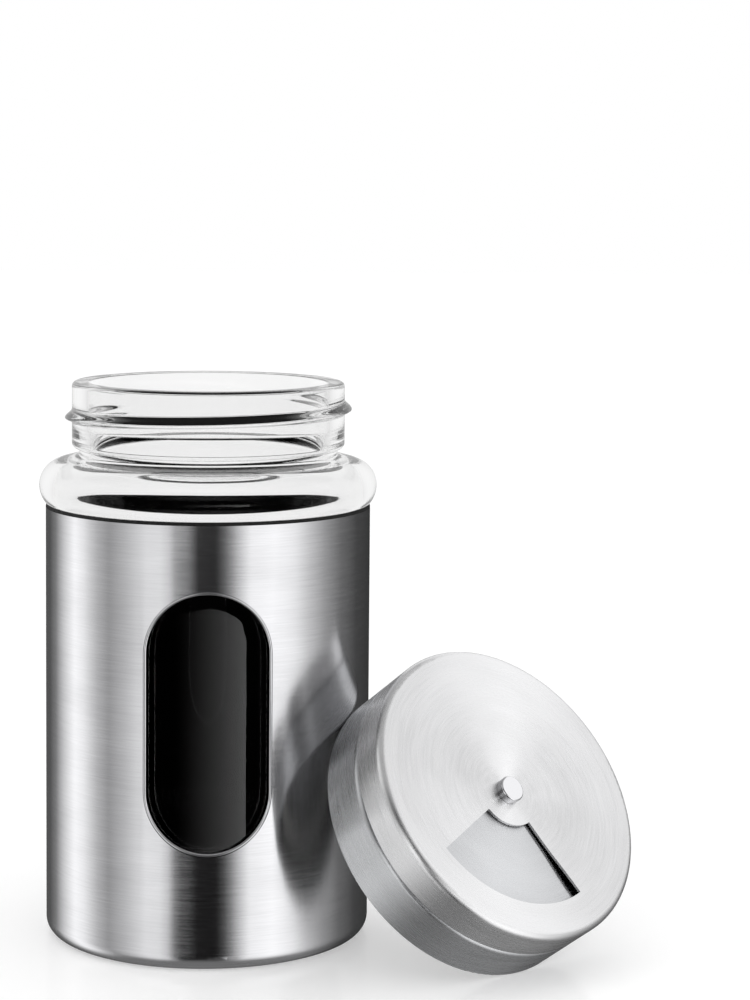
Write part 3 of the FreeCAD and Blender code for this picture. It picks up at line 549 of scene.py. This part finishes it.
def arc(centre, radius, first, last, count):
    """Points of an arc in the outline's plane, angles in degrees, from first to last."""
    angles = [math.radians(first + (last - first) * step / count) for step in range(count + 1)]
    return [(centre[0] + radius * math.cos(a), centre[1] + radius * math.sin(a)) for a in angles]


def run(start, end, step):
    """Points of a straight stretch, both ends included."""
    count = max(1, round(math.dist(start, end) / step))
    return [tuple(a + (b - a) * place / count for a, b in zip(start, end)) for place in range(count + 1)]


def double_bend(start, end, count):
    """Two equal arcs that leave and arrive straight up or down."""
    across = abs(end[0] - start[0])
    fall = abs(end[1] - start[1])
    radius = (fall ** 2 + across ** 2) / (4 * across)
    sweep = math.asin(min(1, fall / 2 / radius))
    points = []
    for step in range(2 * count + 1):
        turned = sweep * (1 - abs(step / count - 1))
        near, edge = (start, end) if step <= count else (end, start)
        aside = math.copysign(radius * (1 - math.cos(turned)), edge[0] - near[0])
        down = math.copysign(radius * math.sin(turned), edge[1] - near[1])
        points.append((near[0] + aside, near[1] + down))
    return points


bulge_foot = BULGE_RADIUS - FOOT_RADIUS
lower_arc = ((BULGE_HEIGHT - RING_TOP) ** 2 + bulge_foot ** 2) / (2 * bulge_foot)
lower_turn = math.degrees(math.asin((BULGE_HEIGHT - RING_TOP) / lower_arc))
crown_radius = BULGE_RADIUS - CROWN
waist_base = BULGE_HEIGHT + CROWN + SHOULDER_FALL
neck_base = waist_base + WAIST_HEIGHT
outline = [(0, BASE_HEIGHT)]
outline += arc((BODY_RADIUS - HEEL, BASE_HEIGHT + HEEL), HEEL, -90, 0, 12)
outline += run((BODY_RADIUS, BASE_HEIGHT + HEEL), (BODY_RADIUS, RING_TOP - SMALL_CORNER), WALL_STEP)[1:]
outline += [(BODY_RADIUS + SMALL_CORNER, RING_TOP), (FOOT_RADIUS - SMALL_CORNER, RING_TOP)]
outline += arc((BULGE_RADIUS - lower_arc, BULGE_HEIGHT), lower_arc, -lower_turn, 0, 24)
outline += arc((crown_radius, BULGE_HEIGHT), CROWN, 0, 90, 30)[1:]
outline += arc((WAIST_RADIUS + WAIST_FILLET, waist_base + WAIST_FILLET), WAIST_FILLET, -90, -180, 10)
outline += arc((WAIST_RADIUS + SMALL_CORNER, neck_base - SMALL_CORNER), SMALL_CORNER, 180, 90, 4)
outline += arc((NECK_RADIUS - NECK_EDGE, neck_base + NECK_EDGE), NECK_EDGE, -90, 0, 10)
outline += run((NECK_RADIUS, neck_base + NECK_EDGE), (NECK_RADIUS, RIM_TOP - RIM_EDGE), THREAD_STEP)[1:]
outline += arc((NECK_RADIUS - RIM_EDGE, RIM_TOP - RIM_EDGE), RIM_EDGE, 0, 90, 12)[1:]
outline += arc((MOUTH_RADIUS + RIM_LIP, RIM_TOP - RIM_LIP), RIM_LIP, 90, 180, 12)
outline += run((MOUTH_RADIUS, RIM_TOP - RIM_LIP), (MOUTH_RADIUS, MOUTH_FOOT), MOUTH_STEP)[1:-1]
outline += run((MOUTH_RADIUS, MOUTH_FOOT), (THROAT_RADIUS, THROAT_TOP), MOUTH_STEP / 2)[:-1]
outline += double_bend((THROAT_RADIUS, THROAT_TOP), (BELLY_RADIUS, BELLY_HEIGHT), 16)
outline += double_bend((BELLY_RADIUS, BELLY_HEIGHT), (CAVITY_RADIUS, CAVITY_SHOULDER), 12)[1:]
outline += run((CAVITY_RADIUS, CAVITY_SHOULDER), (CAVITY_RADIUS, CAVITY_FLOOR + CAVITY_HEEL), WALL_STEP)[1:-1]
outline += arc((CAVITY_RADIUS - CAVITY_HEEL, CAVITY_FLOOR + CAVITY_HEEL), CAVITY_HEEL, 0, -90, 12)
outline += [(0, CAVITY_FLOOR)]
print("outline points", len(outline))


# %% [markdown]
# The node tree reads the outline's points by number. A grid has one row of points for each of them
# and one column for each step round the axis, so a grid point knows its place in the outline and its
# part of the turn. The ridge's height at that turn decides how far the point is pushed out.


# %% Turning the jar
def new_tree(name, inputs):
    """An empty Geometry Nodes tree with named inputs, given as (name, socket type)."""
    tree = bpy.data.node_groups.new(name, "GeometryNodeTree")
    tree.interface.new_socket("Geometry", in_out="INPUT", socket_type="NodeSocketGeometry")
    for label, kind in inputs:
        tree.interface.new_socket(label, in_out="INPUT", socket_type=kind)
    tree.interface.new_socket("Geometry", in_out="OUTPUT", socket_type="NodeSocketGeometry")
    return tree, add_node(tree, "NodeGroupInput").outputs


def close_tree(tree, geometry, material_socket):
    """Realizes what is instanced, gives it its material and hands it out."""
    real = add_node(tree, "GeometryNodeRealizeInstances", {"Geometry": geometry})
    painted = add_node(tree, "GeometryNodeSetMaterial", {"Geometry": real, "Material": material_socket})
    add_node(tree, "NodeGroupOutput", {"Geometry": painted})


def grow(name, tree, values, start):
    """Runs a tree on a starting object and keeps the result as a plain, closed, outward mesh."""
    modifier = start.modifiers.new(name, "NODES")
    modifier.node_group = tree
    for item in tree.interface.items_tree:
        if item.in_out == "INPUT" and item.name in values:
            modifier[item.identifier] = values[item.name]
    bpy.context.collection.objects.link(start)
    evaluated = start.evaluated_get(bpy.context.evaluated_depsgraph_get())
    mesh = bpy.data.meshes.new_from_object(evaluated)
    start.modifiers.remove(modifier)
    bpy.data.objects.remove(start)
    shell = bmesh.new()
    shell.from_mesh(mesh)
    bmesh.ops.recalc_face_normals(shell, faces=shell.faces)
    if shell.calc_volume(signed=True) < 0:
        bmesh.ops.reverse_faces(shell, faces=shell.faces)
    open_edges = sum(1 for edge in shell.edges if len(edge.link_faces) != 2)
    shell.to_mesh(mesh)
    shell.free()
    mesh.polygons.foreach_set("use_smooth", [True] * len(mesh.polygons))
    piece = bpy.data.objects.new(name, mesh)
    bpy.context.collection.objects.link(piece)
    print(name, len(mesh.polygons), "faces,", open_edges, "open edges")
    return piece


THREAD_SIZES = {
    "Segments": 192,
    "Thread Middle": neck_base + 6.35 * MM,
    "Pitch": 3.5 * MM,
    "Depth": 1.3 * MM,
    "Upper Flank": 1.7 * MM,
    "Lower Flank": 0.85 * MM,
    "Neck Radius": NECK_RADIUS,
    "Glass": glass,
}
tree, given = new_tree("turned_jar", [
    ("Segments", "NodeSocketInt"), ("Thread Middle", "NodeSocketFloat"), ("Pitch", "NodeSocketFloat"),
    ("Depth", "NodeSocketFloat"), ("Upper Flank", "NodeSocketFloat"), ("Lower Flank", "NodeSocketFloat"),
    ("Neck Radius", "NodeSocketFloat"), ("Glass", "NodeSocketMaterial")])
count = add_node(tree, "GeometryNodeAttributeDomainSize", {"Geometry": given["Geometry"]},
                 component="CURVE").outputs["Point Count"]
columns = add_node(tree, MATH, {0: given["Segments"], 1: 1}, operation="ADD")
grid = add_node(tree, "GeometryNodeMeshGrid", {"Vertices X": columns, "Vertices Y": count}).outputs["Mesh"]
index = add_node(tree, "GeometryNodeInputIndex")
row = add_node(tree, MATH, {0: index, 1: count}, operation="FLOORED_MODULO")
mid_index = add_node(tree, MATH, {0: index, 1: 0.5}, operation="ADD")
split = add_node(tree, MATH, {0: mid_index, 1: count}, operation="DIVIDE")
column = add_node(tree, MATH, {0: split}, operation="FLOOR")
place = add_node(tree, "GeometryNodeInputPosition")
sample = add_node(tree, "GeometryNodeSampleIndex",
                  {"Geometry": given["Geometry"], "Value": place, "Index": row},
                  data_type="FLOAT_VECTOR", domain="POINT")
on_outline = add_node(tree, "ShaderNodeSeparateXYZ", {"Vector": sample}).outputs
share = add_node(tree, MATH, {0: column, 1: given["Segments"]}, operation="DIVIDE")
turn = add_node(tree, MATH, {0: share, 1: 2 * math.pi, 2: math.pi / 2}, operation="MULTIPLY_ADD")
print("nodes that lay the grid out", len(tree.nodes))

# %% [markdown]
# The thread is a height above the neck. Halfway round it stands at its middle height, and one turn
# climbs by the pitch. Each flank is a smooth rise from nothing to the crest, and both ends fade out
# at the back, so that the crest dies into the neck like a pulled ridge of glass.

# %% The thread's ridge
FADE_START = 0.05
FADE_END = 0.22
MERGE_DISTANCE = 0.001 * MM

climb_share = add_node(tree, MATH, {0: share, 1: 0.5}, operation="SUBTRACT")
crest = add_node(tree, MATH, {0: climb_share, 1: given["Pitch"], 2: given["Thread Middle"]},
                 operation="MULTIPLY_ADD")
above = add_node(tree, MATH, {0: on_outline["Z"], 1: crest}, operation="SUBTRACT")
upper = add_node(tree, "ShaderNodeMapRange",
                 {"Value": above, "From Min": given["Upper Flank"], "From Max": 0.0},
                 interpolation_type="SMOOTHSTEP")
lower_foot = add_node(tree, MATH, {0: given["Lower Flank"], 1: -1.0}, operation="MULTIPLY")
lower = add_node(tree, "ShaderNodeMapRange", {"Value": above, "From Min": lower_foot, "From Max": 0.0},
                 interpolation_type="SMOOTHSTEP")
fade_in = add_node(tree, "ShaderNodeMapRange", {"Value": share, "From Min": FADE_START, "From Max": FADE_END},
                   interpolation_type="SMOOTHSTEP")
fade_out = add_node(tree, "ShaderNodeMapRange",
                    {"Value": share, "From Min": 1 - FADE_START, "From Max": 1 - FADE_END},
                    interpolation_type="SMOOTHSTEP")
neck_skin = add_node(tree, MATH, {0: given["Neck Radius"], 1: SMALL_CORNER}, operation="SUBTRACT")
outside = add_node(tree, MATH, {0: on_outline["X"], 1: neck_skin}, operation="GREATER_THAN")
on_neck = add_node(tree, MATH, {0: on_outline["Z"], 1: neck_base}, operation="GREATER_THAN")
ridge = given["Depth"]
for part in (upper, lower, fade_in, fade_out, outside, on_neck):
    ridge = add_node(tree, MATH, {0: ridge, 1: part}, operation="MULTIPLY")
radius = add_node(tree, MATH, {0: on_outline["X"], 1: ridge}, operation="ADD")
cosine = add_node(tree, MATH, {0: turn}, operation="COSINE")
sine = add_node(tree, MATH, {0: turn}, operation="SINE")
across = add_node(tree, MATH, {0: radius, 1: cosine}, operation="MULTIPLY")
deep = add_node(tree, MATH, {0: radius, 1: sine}, operation="MULTIPLY")
turned = add_node(tree, "ShaderNodeCombineXYZ", {"X": across, "Y": deep, "Z": on_outline["Z"]})
shaped = add_node(tree, "GeometryNodeSetPosition", {"Geometry": grid, "Position": turned})
closed = add_node(tree, "GeometryNodeMergeByDistance", {"Geometry": shaped, "Distance": MERGE_DISTANCE})
close_tree(tree, closed, given["Glass"])

curve = bpy.data.curves.new("jar_outline", "CURVE")
curve.dimensions = "3D"
spline = curve.splines.new("POLY")
spline.points.add(len(outline) - 1)
for point, (reach, level) in zip(spline.points, outline):
    point.co = (reach, 0, level, 1)
jar = grow("turned_glass_jar", tree, THREAD_SIZES, bpy.data.objects.new("jar_outline", curve))
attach(jar, "jar")
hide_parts("glass_jar")

# %% [markdown]
# The window's edge isn't a raw cut: the sheet is rolled in round the slot, and the roll catches thin
# lines of light. A round wire stands for it and follows the slot on the sleeve's curved wall.
# Geometry Nodes draw the slot flat, lay it on the cylinder and sweep a small circle along it.

# %% The window's rolled lip
CORNER_POINTS = 24
LIP_STEP = 0.4 * MM
ROLL_SIDES = 14

tree, given = new_tree("rolled_lip", [
    ("Half Width", "NodeSocketFloat"), ("Height", "NodeSocketFloat"), ("Middle", "NodeSocketFloat"),
    ("Wall Radius", "NodeSocketFloat"), ("Roll Radius", "NodeSocketFloat"), ("Steel", "NodeSocketMaterial")])
width = add_node(tree, MATH, {0: given["Half Width"], 1: 2.0}, operation="MULTIPLY")
slot = add_node(tree, "GeometryNodeCurvePrimitiveQuadrilateral", {"Width": width, "Height": given["Height"]})
rounded = add_node(tree, "GeometryNodeFilletCurve", {"Curve": slot, "Radius": given["Half Width"],
                                                     "Count": CORNER_POINTS, "Limit Radius": True},
                   mode="POLY")
even = add_node(tree, "GeometryNodeResampleCurve", {"Curve": rounded, "Length": LIP_STEP}, mode="LENGTH")
place = add_node(tree, "GeometryNodeInputPosition")
flat = add_node(tree, "ShaderNodeSeparateXYZ", {"Vector": place}).outputs
wall_square = add_node(tree, MATH, {0: given["Wall Radius"], 1: 2.0}, operation="POWER")
side_square = add_node(tree, MATH, {0: flat["X"], 1: flat["X"]}, operation="MULTIPLY")
depth_square = add_node(tree, MATH, {0: wall_square, 1: side_square}, operation="SUBTRACT")
wall_depth = add_node(tree, MATH, {0: depth_square}, operation="SQRT")
forward = add_node(tree, MATH, {0: wall_depth, 1: -1.0}, operation="MULTIPLY")
lifted = add_node(tree, MATH, {0: flat["Y"], 1: given["Middle"]}, operation="ADD")
wrapped = add_node(tree, "ShaderNodeCombineXYZ", {"X": flat["X"], "Y": forward, "Z": lifted})
bent = add_node(tree, "GeometryNodeSetPosition", {"Geometry": even, "Position": wrapped})
circle = add_node(tree, "GeometryNodeCurvePrimitiveCircle",
                  {"Resolution": ROLL_SIDES, "Radius": given["Roll Radius"]})
swept = add_node(tree, "GeometryNodeCurveToMesh", {"Curve": bent, "Profile Curve": circle})
close_tree(tree, swept, given["Steel"])

WINDOW_HALF_WIDTH = 11.4 * MM
WINDOW_LOW = 20.7 * MM
WINDOW_HIGH = 68.0 * MM
ROLL_RADIUS = 0.3 * MM
SLEEVE_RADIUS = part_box("steel_sleeve")[1].x
lip = grow("window_lip", tree, {
    "Half Width": WINDOW_HALF_WIDTH - ROLL_RADIUS, "Height": WINDOW_HIGH - WINDOW_LOW - 2 * ROLL_RADIUS,
    "Middle": (WINDOW_LOW + WINDOW_HIGH) / 2, "Wall Radius": SLEEVE_RADIUS - ROLL_RADIUS,
    "Roll Radius": ROLL_RADIUS, "Steel": rolled_steel},
    bpy.data.objects.new("lip_start", bpy.data.meshes.new("lip_start")))
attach(lip, "jar")

# %% [markdown]
# The carried-over pieces get their finishes here. Most of the cap's inner pieces are hidden while it
# leans face up, but the plate shows through the slot and the lining from behind, so each is given
# what such a part is made of. Black and matt reads as rubber, milky as nylon, mirror-like as a rivet.

# %% Finishes of the carried-over pieces
FINISHES = {
    "steel_sleeve": sleeve_steel,
    "shoulder_ring": plain_finish("black_gasket_rubber", "#050505", 0.8),
    "cap_shell": cup_steel,
    "thread_insert": plain_finish("black_moulded_plastic", "#1b1b1c", 0.4),
    "rim_seal": plain_finish("white_silicone_seal", "#e2e2de", 0.5),
    "spacer_washer": plain_finish("natural_nylon_washer", "#dcdbd2", 0.45),
    "spring_washer": plain_finish("spring_steel_washer", "#a8a8aa", 0.25, 1.0),
    "backing_washer": plain_finish("plated_steel_washer", "#b8b8ba", 0.2, 1.0),
    "pivot_rivet": plain_finish("polished_stainless_rivet", "#d4d4d6", 0.12, 1.0),
    "dial_cap": dial_steel_painted_pale,
}
for node, finish in FINISHES.items():
    piece = frame["nodes"][node]
    for number in range(len(piece.material_slots)):
        piece.material_slots[number].material = finish
print("finished", len(FINISHES), "carried-over pieces")

# %% [markdown]
# Light crosses the jar's walls many times before it leaves, and where it is cut off too early a black
# patch stays. So the number of bounces is raised for the glass. The view transform is Standard, in
# which white stays white.

# %% Look settings and the end
GLASS_BOUNCES = 32
bpy.context.scene.view_settings.view_transform = "Standard"
bpy.context.scene.cycles.max_bounces = GLASS_BOUNCES
bpy.context.scene.cycles.glossy_bounces = GLASS_BOUNCES
bpy.context.scene.cycles.transmission_bounces = GLASS_BOUNCES
